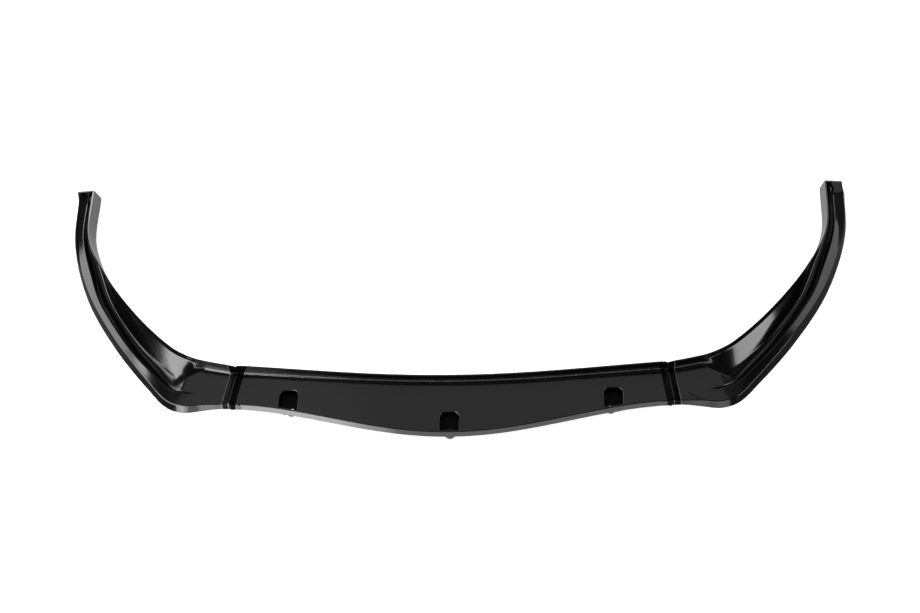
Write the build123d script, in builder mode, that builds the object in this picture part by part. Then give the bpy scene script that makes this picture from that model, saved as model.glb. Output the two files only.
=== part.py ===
# Front splitter lip: a centre shell with a wing lapped under each of its ends, in millimetres.
# +X is the right of the picture, +Y the rear of the car, +Z up.
# The origin lies on the ground, under the middle of the lip's outline.

import os
from math import cos, hypot, pi, tan

from build123d import *

os.makedirs("parts", exist_ok=True)

# Sheet
wall = 3.0
edge_r = 2.2
least_r = 0.4
lap_clearance = 0.3

# Plan of the centre shell: the front edge and the rear flange each follow half a cosine wave
front_y = -300.5
front_sweep = 37.0
flange_y = -178.0
flange_sweep = 21.0
front_wave = 510.0
flange_wave = 700.0

# Heights and section of the centre shell
mid_lift = 16.0
end_lift = 5.0
face_h = 9.0
face_lean = 7.0
blade_rise = 2.0
root_r = 7.0
mid_flange_h = 24.0
end_flange_h = 29.0

# Lap at each end of the centre shell: places of the cut edge at the front and at the flange
seam_front_x = 482.0
seam_rear_x = 469.0
lap_length = 20.0
lap_relief = 6.0
lap_start = 45.0
lap_pitch = 3.0
bead_h = 2.5
bead_from_edge = 15.0
bead_w = 30.0
step_start = 22.0
step_w = 8.0
ledge_h = 0.8
ledge_start = 36.0
ledge_w = 5.0
slot_top_x = 465.0
slot_foot_x = 455.0

# Screw wells
well_x = 340.0
well_w = 39.0
well_len = 46.0
well_r = 13.0
well_depth = 12.0
rim_r = 2.4
rim_bite = 0.15
front_wall = 2.6
boss_r = 12.5
boss_inset = 6.0
boss_back = 2.0
screw_r = 5.5

# Wing heights: the foot comes down from the centre shell's lift in the first part of the wing
foot_settle = 0.09
skirt_h = end_lift + face_h
skirt_grow = 13.0
crest_rise = 5.0
valley_rise = 5.0
wing_flange_h = 34.0

# Wing widths, measured inwards from the outer edge
skirt_flare = 20.0
crest_flare = 16.5
strip_w = 14.0
strip_front_w = 21.0
riser_w = 12.0
cove_r = 26.0
flange_tilt = 8.0
crest_r = 3.4
fold_r = 6.0

# Tab that closes the wing's rear end
tab_wall = 3.0
tab_lean = 20.0
tab_drop = 3.0
tab_r = 5.0
tab_hole_r = 2.0
tab_hole_in = 16.0
tab_hole_down = 7.0
tab_slot_w = 10.0
tab_slot_len = 6.0

# Plan of the right wing from the lap to the tip: points of its outer edge on the ground, each
# with the point of the inner flange's top edge that faces it
wing_plan = [
    ((531, -231), (509, -138.5)),
    ((566, -233), (537, -132)),
    ((600, -222), (563, -122)),
    ((648, -176), (598, -101.5)),
    ((734.5, -75), (681, -25)),
    ((812.5, 45.5), (764, 78)),
    ((864, 186.5), (816, 183)),
    ((875, 300.5), (824, 300.5)),
]
wing_stations = 24


def ramp(value, start, end):
    """Smooth rise from 0 to 1 between start and end."""
    t = min(max((value - start) / (end - start), 0), 1)
    return t * t * (3 - 2 * t)


def front_line(x):
    return front_y + front_sweep * (1 - cos(pi * x / front_wave))


def flange_line(x):
    return flange_y + flange_sweep * (1 - cos(pi * x / flange_wave))


def lift(x):
    """Height of the centre shell's lower front edge."""
    return mid_lift - (mid_lift - end_lift) * (x / seam_front_x) ** 2


def shifted(points, radii, gaps):
    """A path whose runs are moved to the right of their direction, each by its own gap, with its
    corner radii kept concentric."""
    points = [Vector(*p) for p in points]
    runs = [(b - a).normalized() for a, b in zip(points, points[1:])]
    sides = [Vector(d.Y, -d.X) for d in runs]
    moved = [points[0] + sides[0] * gaps[0]]
    rounds = []
    for i, (corner, r) in enumerate(zip(points[1:], radii)):
        n1, n2 = sides[i], sides[i + 1]
        mean = (gaps[i] + gaps[i + 1]) / 2
        place = corner + (n1 + n2) * (mean / (1 + n1.dot(n2)))
        if gaps[i] != gaps[i + 1]:
            place += (n1 - n2) * ((gaps[i] - mean) / (1 - n1.dot(n2)))
        moved.append(place)
        turns_left = runs[i].cross(runs[i + 1]).Z > 0
        rounds.append(max(r + mean if turns_left else r - mean, least_r))
    moved.append(points[-1] + sides[-1] * gaps[-1])
    return moved, rounds


def draw_path(points, radii):
    """Straight runs joined by tangent arcs."""
    start = points[0]
    for before, corner, after, r in zip(points, points[1:], points[2:], radii):
        d1 = (corner - before).normalized()
        d2 = (after - corner).normalized()
        reach = r * tan(d1.get_angle(d2) * pi / 360)
        a = corner - d1 * reach
        b = corner + d2 * reach
        bisector = (d2 - d1).normalized()
        centre = corner + bisector * hypot(reach, r)
        Line(start, a)
        ThreePointArc(a, centre - bisector * r, b)
        start = b
    Line(start, points[-1])


def section_plane(front, rear):
    """Upright plane through two plan points, with its own x running inwards."""
    run = (rear - front).normalized()
    return Plane(origin=front, x_dir=run, z_dir=Vector(run.Y, -run.X))


def shell_section(front, rear, points, radii, outs=None):
    """Section of the sheet, one wall thick, each run of its visible side moved outwards by its out."""
    outs = outs or [0] * (len(points) - 1)
    outer, outer_r = shifted(points, radii, [-out for out in outs])
    inner, inner_r = shifted(points, radii, [wall - out for out in outs])
    foot = inner[1] - inner[0]
    inner[0] += foot * ((outer[0].Y - inner[0].Y) / foot.Y)
    with BuildSketch(section_plane(front, rear)) as section:
        with BuildLine():
            draw_path(outer, outer_r)
            Line(outer[-1], inner[-1])
            draw_path(inner[::-1], inner_r[::-1])
            Line(inner[0], outer[0])
        make_face()
    return section.sketch


def centre_path(front_x, rear_x):
    """Visible side of the centre shell between a point on its front edge and one on its flange."""
    front = Vector(front_x, front_line(front_x))
    rear = Vector(rear_x, flange_line(rear_x))
    depth = (rear - front).length
    low = lift(front_x)
    top = low + face_h
    side = (front_x / seam_front_x) ** 2
    flange_h = mid_flange_h + (end_flange_h - mid_flange_h) * side
    points = [
        (0, low),
        (face_lean, top),
        (depth, top + blade_rise),
        (depth, top + blade_rise + flange_h),
    ]
    return front, rear, points, [edge_r, root_r]


def lap_outs(distance):
    """How far the centre shell's face, blade and flange stand out at a distance from its cut edge:
    all three rise over the wing by a step and a ledge, and the blade carries a bead as well."""
    step = wall + lap_clearance - ledge_h
    lapped = step * (1 - ramp(distance, step_start, step_start + step_w))
    lapped += ledge_h * (1 - ramp(distance, ledge_start, ledge_start + ledge_w))
    off_crest = abs(distance - bead_from_edge) / (bead_w / 2)
    bead = bead_h * (1 - ramp(off_crest, 0, 1))
    return [lapped, lapped + bead, lapped]


# Centre shell: plain run, lapped ends, wells
plain_x = seam_front_x - lap_start


def lap_section(distance):
    """Section of the lapped end, parallel to the cut edge and at a distance from it."""
    front_x = seam_front_x - distance
    rear_x = seam_rear_x - distance * (seam_rear_x - plain_x) / lap_start
    return front_x, rear_x


def well_floor(x):
    return lift(x) + face_h - well_depth


def well_rear(x):
    return front_line(x) + face_lean + well_len


def front_volume(x, gap, high):
    """Space behind the front face round a well, kept gap away from the face."""
    half = well_w
    with BuildPart() as space:
        for front_x in (x - half, x, x + half):
            front, rear, points, radii = centre_path(front_x, front_x)
            lean = face_lean / face_h
            low, top = points[0][1], points[1][1]
            foot = Vector(-lean * (low + 5), -5)
            head = Vector(face_lean + lean * high, top + high)
            depth = points[2][0] - root_r
            path, radius = shifted([foot, head, (depth, top + blade_rise + high)], [edge_r], [gap, gap])
            with BuildSketch(section_plane(front, rear)):
                with BuildLine():
                    draw_path(path, radius)
                    Polyline(path[-1], (depth, -5), path[0])
                make_face()
        loft()
    return space.part


def well_cup(x):
    """Block that a screw well is sunk into, its front and top buried in the sheet."""
    back, front = well_rear(x) + wall, front_line(x) + wall
    with BuildPart() as cup:
        with BuildSketch(Plane.XY.offset(well_floor(x) - wall)):
            with Locations((x, (back + front) / 2)):
                RectangleRounded(well_w + 2 * wall, back - front, well_r + wall)
        extrude(amount=well_depth + 20)
        add(front_volume(x, wall / 2, 0), mode=Mode.INTERSECT)
    return cup.part


def well_hollow(x):
    """Space inside a screw well, with a rounded mouth that follows the blade."""
    rear_y = well_rear(x)
    front, rear, points, radii = centre_path(x, x)
    fall = -2 * (mid_lift - end_lift) * x / seam_front_x**2
    climb = blade_rise / (points[2][0] - face_lean)
    rear_z = points[1][1] + climb * (rear_y - front.Y - face_lean)
    blade = Plane(origin=(x, rear_y, rear_z), x_dir=(1, 0, fall), z_dir=(-fall, -climb, 1))
    reach = well_len + well_r
    half = well_w / 2
    with BuildPart() as hollow:
        with BuildSketch(blade):
            with Locations((0, -reach / 2)):
                RectangleRounded(well_w, reach, well_r)
        extrude(amount=well_depth + 10, both=True)
        with BuildLine(blade) as mouth:
            FilletPolyline((-half, -reach), (-half, 0), (half, 0), (half, -reach), radius=well_r)
        with BuildSketch(Plane(origin=mouth.line @ 0, x_dir=-blade.x_dir, z_dir=mouth.line % 0)):
            with BuildLine():
                far = rim_r - rim_bite
                Polyline((-rim_bite, -far), (-1, -far), (-1, 1), (far, 1), (far, rim_bite))
                RadiusArc((far, rim_bite), (-rim_bite, -far), -rim_r)
            make_face()
        sweep(path=mouth.line)
        add(front_volume(x, front_wall, 30), mode=Mode.INTERSECT)
        split(bisect_by=Plane.XY.offset(well_floor(x)), keep=Keep.TOP)
    return hollow.part


wells = [(-well_x, boss_inset), (0, 0), (well_x, -boss_inset)]

with BuildPart() as lap_end:
    spans = round(lap_start / lap_pitch)
    for i in range(spans, -1, -1):
        distance = lap_start * i / spans
        add(shell_section(*centre_path(*lap_section(distance)), lap_outs(distance)))
    loft()
    slot_head = end_lift + face_h + lap_clearance - 0.1
    slot_back = front_line(slot_foot_x) + face_lean + 2 * wall
    with BuildSketch(Plane.XZ.offset(-slot_back)):
        with BuildLine():
            Polyline(
                (slot_top_x, slot_head),
                (slot_foot_x, end_lift - 6),
                (seam_front_x + 30, end_lift - 6),
                (seam_front_x + 30, slot_head),
                close=True,
            )
        make_face()
    extrude(amount=40, mode=Mode.SUBTRACT)

with BuildPart() as centre_section:
    for i in range(-5, 6):
        x = plain_x * i / 5
        add(shell_section(*centre_path(x, x)))
    loft()
    add(lap_end.part)
    mirror(lap_end.part, about=Plane.YZ)
    for x, inset in wells:
        boss_at = (x + inset, front_line(x + inset) + boss_r + boss_back)
        add(well_cup(x))
        with BuildSketch(Plane.XY):
            with Locations(boss_at):
                Circle(boss_r)
        extrude(amount=well_floor(x) - wall / 2)
        add(well_hollow(x), mode=Mode.SUBTRACT)
        with Locations((*boss_at, well_floor(x))):
            Hole(screw_r, well_floor(x) + 1)
centre_section.part.label = "centre_section"
export_step(centre_section.part, "parts/centre_section.step")


# Right wing: sections from under the lap, round the corner and back to the tip
def through(points, marks, at):
    """Point at a mark on a smooth curve that passes through the points at their marks."""
    i = max(j for j in range(len(marks) - 1) if marks[j] <= at)
    steps = [(q - p) / (n - m) for p, q, m, n in zip(points, points[1:], marks, marks[1:])]
    slopes = [steps[0]] + [(u + v) / 2 for u, v in zip(steps, steps[1:])] + [steps[-1]]
    span = marks[i + 1] - marks[i]
    t = (at - marks[i]) / span
    start = points[i] * ((1 + 2 * t) * (1 - t) ** 2) + slopes[i] * (span * t * (1 - t) ** 2)
    end = points[i + 1] * (t * t * (3 - 2 * t)) + slopes[i + 1] * (span * t * t * (t - 1))
    return start + end


def wing_path(along):
    """Visible side of the wing, from 0 at the lap to 1 at the tip."""
    front = through(outer_points, marks, along * marks[-1])
    rear = through(inner_points, marks, along * marks[-1])
    width = (rear - front).length
    rise = ramp(along, 0.08, 0.55)
    narrow = ramp(along, 0.7, 1.0)
    flare = max(2 * along - 1, 0) ** 1.5
    skirt_foot_w = face_lean * skirt_h / face_h
    skirt_w = skirt_foot_w + skirt_flare * max(2.5 * along - 1.5, 0) ** 2.5
    crease_z = skirt_h + skirt_grow * ramp(along, 0.12, 0.5)
    crest_u = skirt_foot_w + crest_flare * flare + strip_front_w + (strip_w - strip_front_w) * ramp(along, 0.17, 0.38)
    crest_z = crease_z + 0.5 + crest_rise * rise
    fold_u = crest_u + 5 + (riser_w - 5) * rise * (1 - 0.75 * narrow)
    valley_z = skirt_h + valley_rise * rise
    root_z = valley_z + blade_rise * (1 - ramp(along, 0.0, 0.3))
    flange_h = end_flange_h + (wing_flange_h - end_flange_h) * ramp(along, 0.0, 0.25)
    root_u = width + flange_tilt * ramp(along, 0.25, 0.85)
    foot_z = end_lift * (1 - ramp(along, 0.0, foot_settle))
    cove = root_r + (cove_r - root_r) * ramp(along, 0.0, 0.18) * (1 - ramp(along, 0.4, 0.78))
    points = [
        (foot_z * face_lean / face_h, foot_z),
        (skirt_w, crease_z),
        (crest_u, crest_z),
        (fold_u, valley_z),
        (root_u, root_z),
        (width, root_z + flange_h),
    ]
    return front, rear, points, [edge_r, crest_r, fold_r, cove - 2.5 * narrow]


def lapped_wing_path(distance):
    """Visible side of the wing under the centre shell: the same section, with the flange lowered
    towards the wing's end."""
    front, rear, points, radii = centre_path(*lap_section(distance))
    low, top = points[0][1], points[1][1]
    depth, back, head = points[2][0], points[2][1], points[3][1]
    crest_u = face_lean + strip_front_w
    slope = blade_rise / (depth - face_lean)
    crest_z = top + slope * strip_front_w
    points = [
        (0, low),
        (face_lean, top),
        (crest_u, crest_z),
        (crest_u + 5, crest_z - 0.4),
        (depth, back - 0.4),
        (depth, head - lap_relief * distance / lap_length),
    ]
    return front, rear, points, [edge_r, crest_r, fold_r, root_r]


seam_front, seam_rear, seam_points, seam_radii = lapped_wing_path(0)
seam_run = (seam_rear - seam_front).normalized()
ground_u = -face_lean * end_lift / face_h
outer_points = [seam_front + seam_run * ground_u] + [Vector(*outer) for outer, inner in wing_plan]
inner_points = [seam_rear] + [Vector(*inner) for outer, inner in wing_plan]
marks = [0]
for before, after in zip(outer_points, outer_points[1:]):
    marks.append(marks[-1] + (after - before).length)

with BuildPart() as right_wing:
    for distance in (lap_length, lap_length / 2, 0):
        add(shell_section(*lapped_wing_path(distance)))
    for i in range(1, wing_stations + 1):
        step = i / wing_stations
        add(shell_section(*wing_path(step * (0.45 + 0.55 * step))))
    loft()
    tip, tip_rear, tip_points, tip_radii = wing_path(1)
    tip_plane = section_plane(tip, tip_rear)
    root, head = Vector(*tip_points[4]), Vector(*tip_points[5])
    slot_u = tip_points[2][0] + tab_slot_w * 0.2
    with BuildSketch(tip_plane) as tab:
        with BuildLine():
            corner = Vector(tab_lean, head.Y - tab_drop)
            FilletPolyline((0, 0), corner, head, root - (0, wall), radius=tab_r)
            Polyline(root - (0, wall), (skirt_flare, 0), (0, 0))
        make_face()
    extrude(amount=-tab_wall)
    with BuildSketch(tip_plane.offset(-tab_wall)):
        with Locations((slot_u, 2 * skirt_h)):
            Rectangle(tab_slot_w, 2 * skirt_h)
    extrude(amount=-tab_slot_len, mode=Mode.SUBTRACT)
    with Locations(tip_plane * Location((corner.X + tab_hole_in, corner.Y - tab_hole_down))):
        Hole(tab_hole_r, 2 * tab_wall)

right_wing.part.label = "right_wing"
export_step(right_wing.part, "parts/right_wing.step")
with BuildPart() as left_wing:
    mirror(right_wing.part, about=Plane.YZ)
left_wing.part.label = "left_wing"
export_step(left_wing.part, "parts/left_wing.step")
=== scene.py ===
# Looks of the front splitter lip: glossy black moulded shells on a white studio floor, in metres.

import math

import bmesh
import bpy
from mathutils import Matrix, Vector


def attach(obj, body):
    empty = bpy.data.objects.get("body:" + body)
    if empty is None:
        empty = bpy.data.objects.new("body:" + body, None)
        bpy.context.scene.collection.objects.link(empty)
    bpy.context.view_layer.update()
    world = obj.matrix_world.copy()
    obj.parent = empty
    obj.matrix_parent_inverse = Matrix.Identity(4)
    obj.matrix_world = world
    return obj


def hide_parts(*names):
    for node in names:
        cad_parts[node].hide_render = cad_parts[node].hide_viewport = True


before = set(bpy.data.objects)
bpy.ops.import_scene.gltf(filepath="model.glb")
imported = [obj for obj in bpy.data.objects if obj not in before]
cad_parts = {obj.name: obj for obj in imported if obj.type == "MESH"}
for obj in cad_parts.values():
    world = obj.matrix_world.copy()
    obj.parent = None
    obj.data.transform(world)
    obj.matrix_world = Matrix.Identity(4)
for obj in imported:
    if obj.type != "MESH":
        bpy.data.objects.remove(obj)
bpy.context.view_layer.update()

MM = 0.001

# Sizes of the shells in millimetres, as the solids have them
WALL = 3.0
FRONT_Y, FRONT_SWEEP, FRONT_WAVE = -300.5, 37.0, 510.0
FLANGE_Y, FLANGE_SWEEP, FLANGE_WAVE = -178.0, 21.0, 700.0
MID_LIFT, END_LIFT = 16.0, 5.0
FACE_H, FACE_LEAN, BLADE_RISE = 9.0, 7.0, 2.0
EDGE_R, ROOT_R, CREST_R, FOLD_R = 2.2, 7.0, 3.4, 6.0
MID_FLANGE_H, END_FLANGE_H, WING_FLANGE_H = 24.0, 29.0, 34.0
SEAM_FRONT_X, SEAM_REAR_X = 482.0, 469.0
SEAM_FRONT_Y, SEAM_SLANT = -227.5, 0.16
LAP_START, LAP_LENGTH, LAP_RELIEF = 45.0, 20.0, 6.0
BEAD_FROM_EDGE = 15.0
WELL_X = 340.0
SKIRT_H = END_LIFT + FACE_H
SKIRT_W = FACE_LEAN * SKIRT_H / FACE_H

# Outer and inner edge of the right wing in plan, from the corner to the tip
WING_PLAN = [
    ((531, -231), (509, -138.5)),
    ((566, -233), (537, -132)),
    ((600, -222), (563, -122)),
    ((648, -176), (598, -101.5)),
    ((734.5, -75), (681, -25)),
    ((812.5, 45.5), (764, 78)),
    ((864, 186.5), (816, 183)),
    ((875, 300.5), (824, 300.5)),
]

# Forms of the wing's section in millimetres, finer than the solids have them. A run is where along the wing
# a form comes or goes, from 0 at the cut edge to 1 at the tip.
TIP_RUN = (0.70, 1.0)
FOOT_RUN = (0.0, 0.09)
FACET_W, FACET_TIP_W, FACET_SLOPE, SKIRT_TIP_LOSS = 1.4, 23.0, 0.5, 4.0
SHOULDER_RISE, SHOULDER_RUN = 13.0, (0.12, 0.5)
STRIP_W, STRIP_TIP_LOSS = 21.0, 16.5
STRIP_WAIST, STRIP_WAIST_RUN = 7.0, (0.17, 0.38)
STRIP_BULGE, STRIP_BULGE_IN, STRIP_BULGE_OUT = 6.0, (0.06, 0.11), (0.12, 0.24)
STRIP_GAIN, STRIP_GAIN_RUN = 5.0, (0.55, 0.70)
RISER_W, RISER_GAIN, RISER_RUN, RISER_TIP_LOSS = 5.0, 7.0, (0.08, 0.55), 0.75
CREST_STEP, CREST_STEP_RUN, CREST_GAIN = 0.5, (0.05, 0.12), 5.0
RIB_H, RIB_IN, RIB_OUT = 3.5, (0.105, 0.15), (0.3, 0.55)
BLADE_RUN, FLANGE_RUN = (0.0, 0.3), (0.0, 0.25)
SCOOP_DEPTH, SCOOP_START, SCOOP_LENGTH, SCOOP_OUT = 8.0, 0.14, 0.17, (0.45, 0.75)
HOLLOW_SHARE, HOLLOW_IN, HOLLOW_OUT = 0.72, (0.09, 0.19), (0.5, 0.85)
OVERHANG = 8.0
LIP_SHARE, LIP_HOLLOW_SHARE = 0.5, 0.2
COVE_R, COVE_FIT, COVE_WALL_SHARE, COVE_FLOOR_GAP, COVE_TIP_LOSS = 60.0, 0.93, 0.8, 4.0, 2.5

# End tab of the wing, measured in from its outer edge
TAB_FOOT_W, TAB_SKIRT = 20.0, (3.0, 4.0)
TAB_CORNER_IN, TAB_DROP, TAB_R, TAB_HEAD_R = 16.0, 3.0, 5.0, 3.0
TAB_HOLE_IN, TAB_HOLE_DOWN, TAB_HOLE_R, TAB_HOLE_SIDES = 36.0, 10.0, 2.0, 24

# Net of the wing's sheet
WING_STATIONS, LAP_STATIONS, ARC_STEPS = 150, 4, 7
LINES_PER_CORNER = ARC_STEPS + 3
SLOT_STATIONS, SLOT_CELLS = 2, 4
LEAST_R, STRAIGHT = 0.4, 1e-4

# Shading of the meshes: edges sharper than an angle in degrees stay sharp
CENTRE_SMOOTH, WING_SMOOTH = 28, 40
WELD, SLIVER = 0.01, 0.005

# Marks in the finish in millimetres. A pair is the start and end of a soft edge.
RIM_HIGHLIGHT_IN, STRIP_IN, STRIP_OUT, BEAD_CREST = (-0.6, 0.0), (1.4, 2.0), (29.0, 31.0), (0.6, 1.6)
# The screw wells' marks paint shade inside them.
WELL_FRONT, WELL_BACK, WELL_SIDE = (8.0, 9.0), (53.0, 55.0), (19.0, 20.0)
WELL_DEPTH, WELL_REACH = (1.2, 3.0), (400.0, 410.0)
INNER_WALL_IN, INNER_WALL_FACING = (550.0, 620.0), (0.75, 0.93)
SLASH_FROM = Vector((498.2, -204.0, 15.5)) * MM
SLASH_TO = Vector((519.0, -219.0, 15.0)) * MM
SLASH_EDGE = (0.9, 2.0)

# Tones and roughness of the plastic
# The rim's tone is a painted highlight on the lapped cut edge.
BLACK, BLUE_CAST, DUST_TONE, INNER_WALL_TONE, RIM_HIGHLIGHT_TONE = 0.003, 1.02, 0.045, 0.16, 0.12
GLOSS_ROUGH, CLOUD_ROUGH, DUST_ROUGH, INNER_WALL_ROUGH = 0.12, 0.05, 0.10, 0.2
PLASTIC_IOR, PEEL_STRENGTH, PEEL_DEPTH, MATTE_SHARE = 1.5, 0.09, 0.4, 0.93

# Camera: the photograph's place, turned and tilted a little, its picture cropped off centre
PHOTO_SIZE = (920, 613)
SENSOR_MM, LENS_MM = 36.0, 50.0
CAMERA_AT = Vector((0.2543, -1.3795, 2.4102))
PITCH_DOWN, TURN_LEFT, TILT = 63.296, 3.269, -3.494
CROP_PX = (79.4, 75.8)

# Studio in metres. A lamp has a name, a place, the point it faces, a size and the brightness of its face.
FLOOR_HALF, FLOOR_DROP = 8.0, 0.5 * MM
FLOOR_GLOW, FLOOR_FAR = 0.86, (3.0, 12.0)
# Painted shade on the floor as the gloss mirrors it: darker beside the wings.
PAINTED_SHADE_X, PAINTED_SHADE_SLANT, PAINTED_SHADE_EDGE, PAINTED_SHADE_DARK = 0.69, 0.58, (0.0, 0.04), 0.86
ROOM_DIM = 0.04
LAMPS = [
    ("ceiling_panel", (-0.1, 0.8, 2.5), (-0.1, 0.6, 0.0), (3.4, 1.3), 0.56),
    ("ceiling_left", (-1.08, 0.9, 2.45), (-0.9, 0.6, 0.0), (0.5, 0.7), 0.15),
    ("back_left_panel", (-2.5, 2.6, 2.2), (-0.6, 0.0, 0.0), (1.8, 1.1), 8.0),
    ("back_right_panel", (1.9, 2.6, 2.2), (0.6, 0.0, 0.0), (1.4, 1.1), 6.0),
    ("left_panel", (-2.67, 0.8, 1.6), (-0.8, 0.3, 0.03), (2.2, 0.8), 5.0),
    ("right_panel", (2.45, 0.85, 1.45), (0.75, 0.3, 0.03), (1.7, 1.1), 2.0),
    ("left_cove_lamp", (-1.90, -1.10, 1.22), (-0.58, -0.15, 0.02), (1.7, 1.5), 9.0),
    ("right_cove_lamp", (2.45, -1.0, 0.62), (0.6, -0.1, 0.02), (1.2, 1.0), 7.0),
    ("front_left_softbox", (-1.85, -2.5, 0.5), (-0.5, -0.2, 0.05), (0.8, 1.2), 4.0),
    ("front_left_wide_softbox", (-1.65, -2.52, 0.5), (-0.5, -0.2, 0.05), (1.2, 1.2), 4.0),
    ("front_panel", (-0.1, -2.54, 0.43), (-0.1, -0.2, 0.05), (4.2, 0.6), 2.7),
    ("top_fill", (0.0, 0.2, 4.0), (0.0, 0.0, 0.0), (5.0, 5.0), 0.3),
]
SHEEN_ONLY = ("left_cove_lamp", "right_cove_lamp")
NO_SHEEN = ("top_fill",)


class Value:
    """A node socket that Python arithmetic turns into Math nodes."""

    def __init__(self, graph, socket):
        self.graph = graph
        self.socket = socket

    def math(self, operation, *others):
        return self.graph.node("ShaderNodeMath", {"operation": operation}, self, *others)

    def __add__(self, other):
        return self.math("ADD", other)

    def __radd__(self, other):
        return self.graph.lift(other).math("ADD", self)

    def __sub__(self, other):
        return self.math("SUBTRACT", other)

    def __rsub__(self, other):
        return self.graph.lift(other).math("SUBTRACT", self)

    def __mul__(self, other):
        return self.math("MULTIPLY", other)

    def __rmul__(self, other):
        return self.graph.lift(other).math("MULTIPLY", self)

    def __truediv__(self, other):
        return self.math("DIVIDE", other)

    def __rtruediv__(self, other):
        return self.graph.lift(other).math("DIVIDE", self)

    def __pow__(self, other):
        return self.math("POWER", other)

    def __rpow__(self, other):
        return self.graph.lift(other).math("POWER", self)

    def smooth(self, low, high):
        """0 below low, 1 above high, with an eased run between them."""
        return self.graph.node(
            "ShaderNodeMapRange",
            {"interpolation_type": "SMOOTHSTEP"},
            Value=self,
            From_Min=low,
            From_Max=high,
        )


class Graph:
    """The node tree of a new material or world."""

    def __init__(self, owner):
        self.owner = owner
        owner.use_nodes = True
        self.tree = owner.node_tree
        self.tree.nodes.clear()

    def node(self, kind, settings=None, *inputs, out=0, **named):
        """Adds a node: its settings first, then its sockets by order or by name."""
        made = self.tree.nodes.new(kind)
        for key, value in (settings or {}).items():
            setattr(made, key, value)
        sockets = list(enumerate(inputs)) + [(key.replace("_", " "), value) for key, value in named.items()]
        for key, value in sockets:
            target = made.inputs[key]
            if isinstance(value, Value):
                self.tree.links.new(value.socket, target)
            else:
                target.default_value = value
        return Value(self, made.outputs[out]) if made.outputs else made

    def lift(self, number):
        return self.node("ShaderNodeMath", {"operation": "ADD"}, number, 0.0)

    def grey(self, value):
        return self.node("ShaderNodeCombineColor", None, value, value, value)

    def finish(self, shader, kind="ShaderNodeOutputMaterial"):
        self.node(kind, None, shader)
        return self.owner


def lap_masks(y, side):
    """Painted highlight along the rim of the cut edge, and a matte strip beside it, broken by the crest of the
    bead.
    """
    cut = SEAM_FRONT_X - SEAM_SLANT * (y - SEAM_FRONT_Y) - side
    inner = cut.smooth(*STRIP_IN)
    rim = cut.smooth(*RIM_HIGHLIGHT_IN) * (1 - inner)
    crest = 1 - (cut - BEAD_FROM_EDGE).math("ABSOLUTE").smooth(*BEAD_CREST)
    strip = inner * (1 - cut.smooth(*STRIP_OUT)) * (1 - crest)
    return rim, strip


def well_painted_shade(x, y, z, side):
    """Painted shade inside the three screw wells, below the blade's top."""
    front = FRONT_Y + FRONT_SWEEP * (1 - (x * (math.pi / FRONT_WAVE)).math("COSINE"))
    back = y - front
    across = ((side + WELL_X / 2).math("MODULO", WELL_X) - WELL_X / 2).math("ABSOLUTE")
    top = MID_LIFT + FACE_H - (MID_LIFT - END_LIFT) * (side / SEAM_FRONT_X) ** 2
    length = back.smooth(*WELL_FRONT) * (1 - back.smooth(*WELL_BACK))
    opening = (1 - across.smooth(*WELL_SIDE)) * length
    return opening * (top - z).smooth(*WELL_DEPTH) * (1 - side.smooth(*WELL_REACH))


def slash_mask(g, place):
    """Thin scuff between two points."""
    run = SLASH_TO - SLASH_FROM
    span = g.node("ShaderNodeVectorMath", {"operation": "SUBTRACT"}, place, SLASH_FROM)
    share = g.node("ShaderNodeVectorMath", {"operation": "DOT_PRODUCT"}, span, run / run.length_squared, out=1)
    share = share.math("MINIMUM", 1.0).math("MAXIMUM", 0.0)
    near = g.node("ShaderNodeVectorMath", {"operation": "SCALE"}, run, Scale=share)
    away = g.node("ShaderNodeVectorMath", {"operation": "DISTANCE"}, span, near, out=1)
    return 1 - (away / MM).smooth(*SLASH_EDGE)


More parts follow.
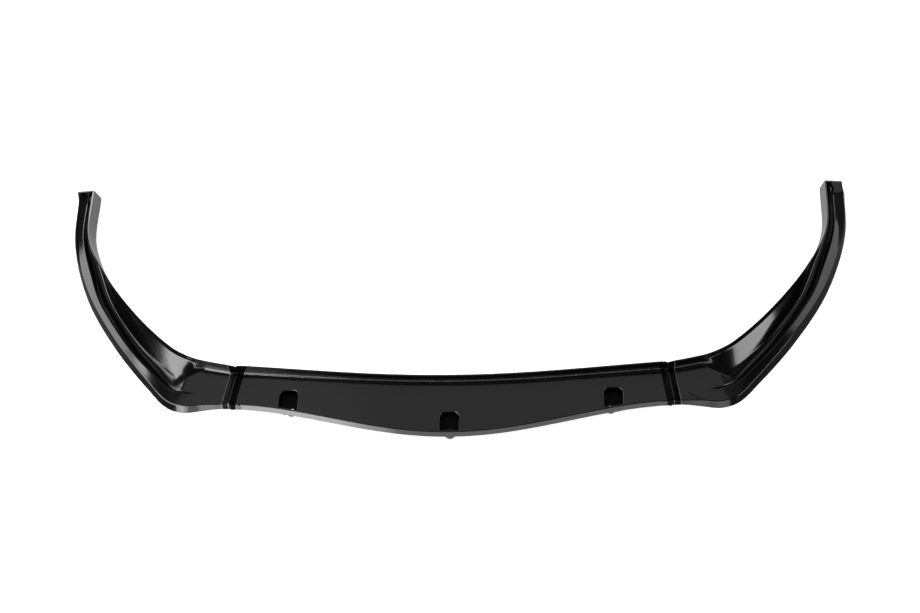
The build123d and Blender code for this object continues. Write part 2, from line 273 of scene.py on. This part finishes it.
def black_plastic():
    """Glossy black moulded plastic: faint clouds in the gloss, fine orange peel, a little dust, a lighter and
    rougher grey on the inner walls that face the middle, a painted highlight on the lapped cut edges, matte
    black along the lapped ends, and painted shade as matte black in the screw wells. Masks are in millimetres."""
    g = Graph(bpy.data.materials.new("black_plastic"))
    place = g.node("ShaderNodeTexCoord", out=3)
    x, y, z = (g.node("ShaderNodeSeparateXYZ", None, place, out=i) / MM for i in range(3))
    side = x.math("ABSOLUTE")

    cloud = g.node("ShaderNodeTexNoise", None, Vector=place, Scale=14.0, Detail=3.0, Roughness=0.55)
    peel = g.node("ShaderNodeTexNoise", None, Vector=place, Scale=420.0, Detail=2.0, Roughness=0.5)
    grain = g.node("ShaderNodeTexNoise", None, Vector=place, Scale=1500.0, Detail=1.0, Roughness=0.5)
    dust = grain.smooth(0.66, 0.80) * cloud.smooth(0.4, 0.7)

    rim, strip = lap_masks(y, side)
    # Matte black for the lapped strip and the scuff, and as painted shade inside the screw wells.
    matte = strip.math("MAXIMUM", well_painted_shade(x, y, z, side)).math("MAXIMUM", slash_mask(g, place))
    facing = g.node("ShaderNodeSeparateXYZ", None, g.node("ShaderNodeNewGeometry", out=1))
    inner_wall = (0 - facing * x.math("SIGN")).smooth(*INNER_WALL_FACING) * side.smooth(*INNER_WALL_IN)

    # Lighter, rougher grey on the wings' inner walls that face the middle.
    inner_wall_grey = INNER_WALL_TONE * inner_wall * (0.8 + 0.4 * cloud)
    # The rim's tone is a painted highlight on the lapped cut edge.
    tone = BLACK + DUST_TONE * dust + inner_wall_grey + RIM_HIGHLIGHT_TONE * rim
    haze = GLOSS_ROUGH + CLOUD_ROUGH * cloud + DUST_ROUGH * dust + INNER_WALL_ROUGH * inner_wall
    bump = g.node("ShaderNodeBump", None, Strength=PEEL_STRENGTH, Distance=PEEL_DEPTH * MM, Height=peel)
    gloss = g.node(
        "ShaderNodeBsdfPrincipled",
        None,
        Base_Color=g.node("ShaderNodeCombineColor", None, tone, tone, tone * BLUE_CAST),
        Roughness=haze,
        IOR=PLASTIC_IOR,
        Normal=bump,
    )
    dull = g.node("ShaderNodeBsdfDiffuse", None, Color=(BLACK, BLACK, BLACK, 1))
    return g.finish(g.node("ShaderNodeMixShader", None, matte * MATTE_SHARE, gloss, dull))


def floor_white():
    """White floor: bright to the eye with the object's soft shadow, white in reflections too except beside the
    wings, where a painted shade darkens the floor as the gloss mirrors it."""
    g = Graph(bpy.data.materials.new("studio_floor"))
    place = g.node("ShaderNodeTexCoord", out=3)
    x, y = (g.node("ShaderNodeSeparateXYZ", None, place, out=i) for i in range(2))
    painted_shade_beside = (x.math("ABSOLUTE") - PAINTED_SHADE_SLANT * y - PAINTED_SHADE_X).smooth(*PAINTED_SHADE_EDGE)
    far = (x * x + y * y).smooth(*FLOOR_FAR)

    lit = g.node("ShaderNodeBsdfDiffuse", None, Color=(0.9, 0.9, 0.9, 1))
    glow = g.node("ShaderNodeEmission", None, g.grey(FLOOR_GLOW + (1 - FLOOR_GLOW) * far))
    shown = g.node("ShaderNodeAddShader", None, lit, glow)
    bounced = g.node("ShaderNodeBsdfDiffuse", None, Color=(0.5, 0.5, 0.5, 1))
    # What the gloss mirrors of the floor: white, with painted shade beside the wings.
    mirrored_with_painted_shade = g.node("ShaderNodeEmission", None, g.grey(1 - PAINTED_SHADE_DARK * painted_shade_beside))

    camera_ray = g.node("ShaderNodeLightPath", out=0)
    glossy_ray = g.node("ShaderNodeLightPath", out=3)
    seen = g.node("ShaderNodeMixShader", None, camera_ray, bounced, shown)
    return g.finish(g.node("ShaderNodeMixShader", None, glossy_ray, seen, mirrored_with_painted_shade))


def studio_world():
    """A dim room round the lamps, plain white to the eye behind the floor."""
    g = Graph(bpy.data.worlds.new("studio"))
    dim = g.node("ShaderNodeBackground", None, (1, 1, 1, 1), ROOM_DIM)
    white = g.node("ShaderNodeBackground", None, (1, 1, 1, 1), 1.0)
    camera_ray = g.node("ShaderNodeLightPath", out=0)
    return g.finish(g.node("ShaderNodeMixShader", None, camera_ray, dim, white), "ShaderNodeOutputWorld")


def centre_mesh(name):
    """A copy of the centre shell's CAD facets, joined into one surface."""
    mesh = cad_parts["centre_section"].data.copy()
    mesh.name = name
    bm = bmesh.new()
    bm.from_mesh(mesh)
    bmesh.ops.remove_doubles(bm, verts=bm.verts, dist=WELD * MM)
    bmesh.ops.dissolve_degenerate(bm, edges=bm.edges, dist=SLIVER * MM)
    bm.to_mesh(mesh)
    bm.free()
    return mesh


def smooth_between(mesh, angle):
    """Smooth shading, with edges sharper than the angle kept sharp."""
    bm = bmesh.new()
    bm.from_mesh(mesh)
    for face in bm.faces:
        face.smooth = True
    for edge in bm.edges:
        edge.smooth = len(edge.link_faces) == 2 and edge.calc_face_angle() < math.radians(angle)
    bm.to_mesh(mesh)
    bm.free()
    return mesh


def ramp(value, start, end):
    """Smooth rise from 0 to 1 between start and end."""
    t = min(max((value - start) / (end - start), 0), 1)
    return t * t * (3 - 2 * t)


def front_line(x):
    """Front edge of the centre shell in plan."""
    return FRONT_Y + FRONT_SWEEP * (1 - math.cos(math.pi * x / FRONT_WAVE))


def flange_line(x):
    """Rear flange of the centre shell in plan."""
    return FLANGE_Y + FLANGE_SWEEP * (1 - math.cos(math.pi * x / FLANGE_WAVE))


def lapped_section(distance):
    """Section of the wing under the centre shell, at a distance from the cut edge: its front and rear in
    plan, its corners as depth and height, and their radii."""
    front_x = SEAM_FRONT_X - distance
    rear_x = SEAM_REAR_X - distance * (SEAM_REAR_X - SEAM_FRONT_X + LAP_START) / LAP_START
    front = Vector((front_x, front_line(front_x)))
    rear = Vector((rear_x, flange_line(rear_x)))
    depth = (rear - front).length
    outward = (front_x / SEAM_FRONT_X) ** 2
    low = MID_LIFT - (MID_LIFT - END_LIFT) * outward
    top = low + FACE_H
    root = top + BLADE_RISE
    flange_h = MID_FLANGE_H + (END_FLANGE_H - MID_FLANGE_H) * outward
    slope = BLADE_RISE / (depth - FACE_LEAN)
    points = [
        (0, low),
        (FACE_LEAN - FACET_W, top - FACET_SLOPE * FACET_W),
        (FACE_LEAN, top),
        (FACE_LEAN + STRIP_W, top + STRIP_W * slope),
        (FACE_LEAN + STRIP_W + RISER_W, top + (STRIP_W + RISER_W) * slope),
        (depth, root),
        (depth, root + flange_h / 2),
        (depth, root + flange_h - LAP_RELIEF * distance / LAP_LENGTH),
    ]
    return front, rear, points, [EDGE_R, EDGE_R, CREST_R, FOLD_R, ROOT_R, ROOT_R]


def through(points, marks, at):
    """Point at a mark on a smooth curve that passes through the points at their marks."""
    i = max(j for j in range(len(marks) - 1) if marks[j] <= at)
    steps = [(q - p) / (n - m) for p, q, m, n in zip(points, points[1:], marks, marks[1:])]
    slopes = [steps[0]] + [(u + v) / 2 for u, v in zip(steps, steps[1:])] + [steps[-1]]
    span = marks[i + 1] - marks[i]
    t = (at - marks[i]) / span
    start = points[i] * ((1 + 2 * t) * (1 - t) ** 2) + slopes[i] * (span * t * (1 - t) ** 2)
    end = points[i + 1] * (t * t * (3 - 2 * t)) + slopes[i + 1] * (span * t * t * (t - 1))
    return start + end


def wing_edges():
    """Outer and inner edge of the right wing in plan, with their marks along the outer one."""
    seam_front, seam_rear = lapped_section(0)[:2]
    run = (seam_rear - seam_front).normalized()
    outer = [seam_front - run * (FACE_LEAN * END_LIFT / FACE_H)] + [Vector(o) for o, i in WING_PLAN]
    inner = [seam_rear] + [Vector(i) for o, i in WING_PLAN]
    marks = [0]
    for before, after in zip(outer, outer[1:]):
        marks.append(marks[-1] + (after - before).length)
    return outer, inner, marks


def strip_width(along):
    """Width of the strip on top of the wing, which narrows to a point at the tip."""
    waist = STRIP_WAIST * ramp(along, *STRIP_WAIST_RUN)
    bulge = STRIP_BULGE * ramp(along, *STRIP_BULGE_IN) * (1 - ramp(along, *STRIP_BULGE_OUT))
    gain = STRIP_GAIN * ramp(along, *STRIP_GAIN_RUN)
    return STRIP_W - waist + bulge + gain - STRIP_TIP_LOSS * ramp(along, *TIP_RUN)


def scoop_depth(along):
    """Depth of the valley's scoop, which starts with a crease and eases out towards the tip."""
    t = min(max((along - SCOOP_START) / SCOOP_LENGTH, 0), 1)
    return SCOOP_DEPTH * (1 - (1 - t) ** 3) * (1 - ramp(along, *SCOOP_OUT))


def wing_section(along, outer, inner, marks):
    """Section of the wing, from 0 at the cut edge to 1 at the tip: skirt, facet, strip, rib, riser down to the
    scooped valley, hollow slope and lip. It gives what lapped_section gives."""
    front = through(outer, marks, along * marks[-1])
    rear = through(inner, marks, along * marks[-1])
    width = (rear - front).length
    tip = ramp(along, *TIP_RUN)
    rise = ramp(along, *RISER_RUN)
    hollow = ramp(along, *HOLLOW_IN) * (1 - ramp(along, *HOLLOW_OUT))
    foot = END_LIFT * (1 - ramp(along, *FOOT_RUN))

    # Skirt, facet and strip
    facet = FACET_W + FACET_TIP_W * tip
    skirt_w = SKIRT_W - FACET_W - SKIRT_TIP_LOSS * tip
    shoulder_u = skirt_w + facet
    shoulder_z = SKIRT_H + SHOULDER_RISE * ramp(along, *SHOULDER_RUN)
    strip = strip_width(along)
    crest_u = shoulder_u + strip
    climb = BLADE_RISE * (1 - ramp(along, *BLADE_RUN)) / (width - shoulder_u)
    step = (CREST_STEP * ramp(along, *CREST_STEP_RUN) + CREST_GAIN * rise) * (1 - tip / 2)
    rib = RIB_H * ramp(along, *RIB_IN) * (1 - ramp(along, *RIB_OUT))
    crest_z = shoulder_z + climb * strip + step + rib

    # Riser and valley
    fold_u = crest_u + RISER_W + RISER_GAIN * rise * (1 - RISER_TIP_LOSS * tip)
    level = SKIRT_H + CREST_GAIN * rise
    scoop = scoop_depth(along)
    overhang = OVERHANG * ramp(along, *HOLLOW_OUT)
    root_u = width - HOLLOW_SHARE * hollow * (width - fold_u) + overhang
    root_z = level + climb * (width - shoulder_u)

    # Hollow slope and lip
    flange_h = END_FLANGE_H + (WING_FLANGE_H - END_FLANGE_H) * ramp(along, *FLANGE_RUN)
    lip_share = LIP_SHARE + LIP_HOLLOW_SHARE * hollow
    lip = Vector((width + overhang / 2 - hollow, root_z + flange_h * lip_share))
    wall = lip - Vector((root_u, root_z - scoop))
    turn = math.atan2(wall.y, wall.x) - math.atan2(root_z - level, root_u - fold_u)
    room = min(wall.length * COVE_WALL_SHARE, root_u - fold_u - COVE_FLOOR_GAP)
    cove = min(ROOT_R + (COVE_R - ROOT_R) * hollow, COVE_FIT * room / math.tan(turn / 2))
    points = [
        (foot * FACE_LEAN / FACE_H, foot),
        (skirt_w, shoulder_z - FACET_SLOPE * facet),
        (shoulder_u, shoulder_z),
        (crest_u, crest_z),
        (fold_u, level + climb * (fold_u - shoulder_u) - scoop),
        (root_u, root_z - scoop),
        lip,
        (width, root_z + flange_h),
    ]
    return front, rear, points, [EDGE_R, EDGE_R, CREST_R, FOLD_R, cove - COVE_TIP_LOSS * tip, ROOT_R]


def inset(points, radii, gap):
    """A path moved to the right of its direction, with its corner radii kept concentric."""
    points = [Vector(p) for p in points]
    runs = [(b - a).normalized() for a, b in zip(points, points[1:])]
    sides = [Vector((d.y, -d.x)) for d in runs]
    moved = [points[0] + sides[0] * gap]
    rounds = []
    for i, radius in enumerate(radii):
        spread = (sides[i] + sides[i + 1]) / (1 + sides[i].dot(sides[i + 1]))
        moved.append(points[i + 1] + spread * gap)
        left = runs[i].cross(runs[i + 1]) > 0
        rounds.append(max(radius + gap if left else radius - gap, LEAST_R))
    moved.append(points[-1] + sides[-1] * gap)
    return moved, rounds


def rounded(points, radii):
    """Points along a path whose corners are arcs, always the same number of them."""
    line = [points[0]]
    steps = [i / ARC_STEPS for i in range(ARC_STEPS + 1)]
    for before, corner, after, radius in zip(points, points[1:], points[2:], radii):
        d1, d2 = (corner - before).normalized(), (after - corner).normalized()
        turn = math.acos(max(-1, min(1, d1.dot(d2))))
        reach = radius * math.tan(turn / 2)
        start, end = corner - d1 * reach, corner + d2 * reach
        line += [line[-1].lerp(start, t) for t in (0.33, 0.67)]
        if turn > STRAIGHT:
            centre = corner + (d2 - d1).normalized() * math.hypot(reach, radius)
            a, b = (start - centre) / math.sin(turn), (end - centre) / math.sin(turn)
            line += [centre + a * math.sin(turn * (1 - t)) + b * math.sin(turn * t) for t in steps]
        else:
            line += [start.lerp(end, t) for t in steps]
    line += [line[-1].lerp(points[-1], t) for t in (0.33, 0.67, 1.0)]
    return line


def place_row(bm, front, rear, path, side):
    """Mesh points of a path in the upright plane from front to rear; side is 1 or -1."""
    run = (rear - front).normalized()
    places = [(front + run * q.x, q.y) for q in path]
    return [bm.verts.new((side * at.x * MM, at.y * MM, z * MM)) for at, z in places]


def sheet_rows(bm, section, side):
    """Outer and inner row of mesh points of a section, a wall apart, both ending at the same height below."""
    front, rear, points, radii = section
    under, under_radii = inset(points, radii, WALL)
    slope = under[1] - under[0]
    under[0] += slope * ((points[0][1] - under[0].y) / slope.y)
    outer = rounded([Vector(q) for q in points], radii)
    return [place_row(bm, front, rear, path, side) for path in (outer, rounded(under, under_radii))]


def wing_mesh(name, side):
    """The wing's sheet as a fine net of quads, its relief slot and its end tab; side is 1 or -1."""
    edges = wing_edges()
    sections = [lapped_section(LAP_LENGTH * (1 - i / LAP_STATIONS)) for i in range(LAP_STATIONS)]
    sections += [wing_section(i / WING_STATIONS, *edges) for i in range(WING_STATIONS + 1)]
    bm = bmesh.new()
    rows = [sheet_rows(bm, section, side) for section in sections]
    last, rim = len(rows) - 1, len(rows[0][0]) - 1
    slot = range(3 * LINES_PER_CORNER, 3 * LINES_PER_CORNER + SLOT_CELLS)
    slot_from = last - SLOT_STATIONS
    for i, (here, ahead) in enumerate(zip(rows, rows[1:])):
        slotted = i >= slot_from
        for j in range(rim):
            if not (slotted and j in slot):
                for skin in (0, 1):
                    bm.faces.new((here[skin][j], ahead[skin][j], ahead[skin][j + 1], here[skin][j + 1]))
        for j in [0, rim] + ([slot.start, slot.stop] if slotted else []):
            bm.faces.new((here[0][j], ahead[0][j], ahead[1][j], here[1][j]))
    for j in range(rim):
        for end in (rows[0], rows[slot_from if j in slot else last]):
            bm.faces.new((end[0][j], end[0][j + 1], end[1][j + 1], end[1][j]))
    add_tab(bm, sections[-1], side)
    bmesh.ops.delete(bm, geom=[v for v in bm.verts if not v.link_faces], context="VERTS")
    bmesh.ops.recalc_face_normals(bm, faces=bm.faces)
    mesh = bpy.data.meshes.new(name)
    bm.to_mesh(mesh)
    bm.free()
    return mesh


def add_tab(bm, section, side):
    """Upright plate that closes the wing's tip, with a screw hole."""
    front, rear, points = section[:3]
    root, head = Vector(points[5]), Vector(points[-1])
    corner = Vector((TAB_CORNER_IN, head.y - TAB_DROP))
    rim = rounded([Vector(TAB_SKIRT), corner, head, root - Vector((0, WALL))], [TAB_R, TAB_HEAD_R])
    rim += [Vector((TAB_FOOT_W, 0)), Vector((0, 0))]
    turns = [2 * math.pi * i / TAB_HOLE_SIDES for i in range(TAB_HOLE_SIDES)]
    hole_at = Vector((TAB_HOLE_IN, head.y - TAB_HOLE_DOWN))
    hole = [hole_at + TAB_HOLE_R * Vector((math.cos(t), math.sin(t))) for t in turns]
    edges = []
    for loop in (rim, hole):
        verts = place_row(bm, front, rear, loop, side)
        edges += [bm.edges.new(pair) for pair in zip(verts, verts[1:] + verts[:1])]
    plate = bmesh.ops.triangle_fill(bm, use_beauty=True, edges=edges)["geom"]
    faces = [f for f in plate if isinstance(f, bmesh.types.BMFace)]
    grown = bmesh.ops.extrude_face_region(bm, geom=faces, use_keep_orig=True)["geom"]
    far_side = [v for v in grown if isinstance(v, bmesh.types.BMVert)]
    bmesh.ops.translate(bm, verts=far_side, vec=(0, -WALL * MM, 0))


def finish_skin(mesh, name, node, material):
    """Evens out the shading of a mesh and puts it in the place of a CAD shell."""
    piece = bpy.data.objects.new(name, mesh)
    bpy.context.scene.collection.objects.link(piece)
    weights = piece.modifiers.new("normals", "WEIGHTED_NORMAL")
    weights.keep_sharp = True
    bpy.context.view_layer.update()
    made = bpy.data.meshes.new_from_object(piece.evaluated_get(bpy.context.evaluated_depsgraph_get()))
    piece.modifiers.clear()
    piece.data = made
    made.name = name
    made.materials.clear()
    made.materials.append(material)
    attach(piece, "root")
    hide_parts(node)


def studio_floor():
    """Square of white floor just below the lip."""
    s = FLOOR_HALF
    mesh = bpy.data.meshes.new("studio_floor")
    mesh.from_pydata([(-s, -s, 0), (s, -s, 0), (s, s, 0), (-s, s, 0)], [], [(0, 1, 2, 3)])
    mesh.materials.append(floor_white())
    floor = bpy.data.objects.new("studio_floor", mesh)
    floor.location.z = -FLOOR_DROP
    bpy.context.scene.collection.objects.link(floor)


def area_light(name, at, facing, size, radiance):
    """A soft lamp with a given brightness of its face."""
    lamp = bpy.data.lights.new(name, "AREA")
    lamp.shape = "RECTANGLE"
    lamp.size, lamp.size_y = size
    lamp.energy = radiance * math.pi * size[0] * size[1]
    holder = bpy.data.objects.new(name, lamp)
    holder.location = at
    holder.rotation_euler = (Vector(facing) - Vector(at)).to_track_quat("-Z", "Y").to_euler()
    holder.visible_camera = False
    holder.visible_diffuse = name not in SHEEN_ONLY
    holder.visible_glossy = name not in NO_SHEEN
    bpy.context.scene.collection.objects.link(holder)


def set_camera():
    """The photograph's camera."""
    pitch, turn, tilt = (math.radians(v) for v in (PITCH_DOWN, TURN_LEFT, TILT))
    level = Vector((-math.sin(turn), math.cos(turn), 0))
    ahead = level * math.cos(pitch) - Vector((0, 0, math.sin(pitch)))
    side = ahead.cross(Vector((0, 0, 1))).normalized()
    top = side.cross(ahead)
    right = side * math.cos(tilt) + top * math.sin(tilt)
    up = top * math.cos(tilt) - side * math.sin(tilt)
    data = bpy.data.cameras.new("photo_camera")
    data.sensor_width = SENSOR_MM
    data.lens = LENS_MM
    data.shift_x = -CROP_PX[0] / PHOTO_SIZE[0]
    data.shift_y = CROP_PX[1] / PHOTO_SIZE[0]
    camera = bpy.data.objects.new("photo_camera", data)
    turned = Matrix((right, up, -ahead)).transposed().to_4x4()
    camera.matrix_world = Matrix.Translation(CAMERA_AT) @ turned
    bpy.context.scene.collection.objects.link(camera)
    bpy.context.scene.camera = camera


plastic = black_plastic()
centre = smooth_between(centre_mesh("centre_skin"), CENTRE_SMOOTH)
finish_skin(centre, "centre_skin", "centre_section", plastic)
for name, node, side in (("left_skin", "left_wing", -1), ("right_skin", "right_wing", 1)):
    finish_skin(smooth_between(wing_mesh(name, side), WING_SMOOTH), name, node, plastic)

studio_floor()
for lamp in LAMPS:
    area_light(*lamp)
bpy.context.scene.world = studio_world()
bpy.context.scene.view_settings.view_transform = "Standard"
set_camera()
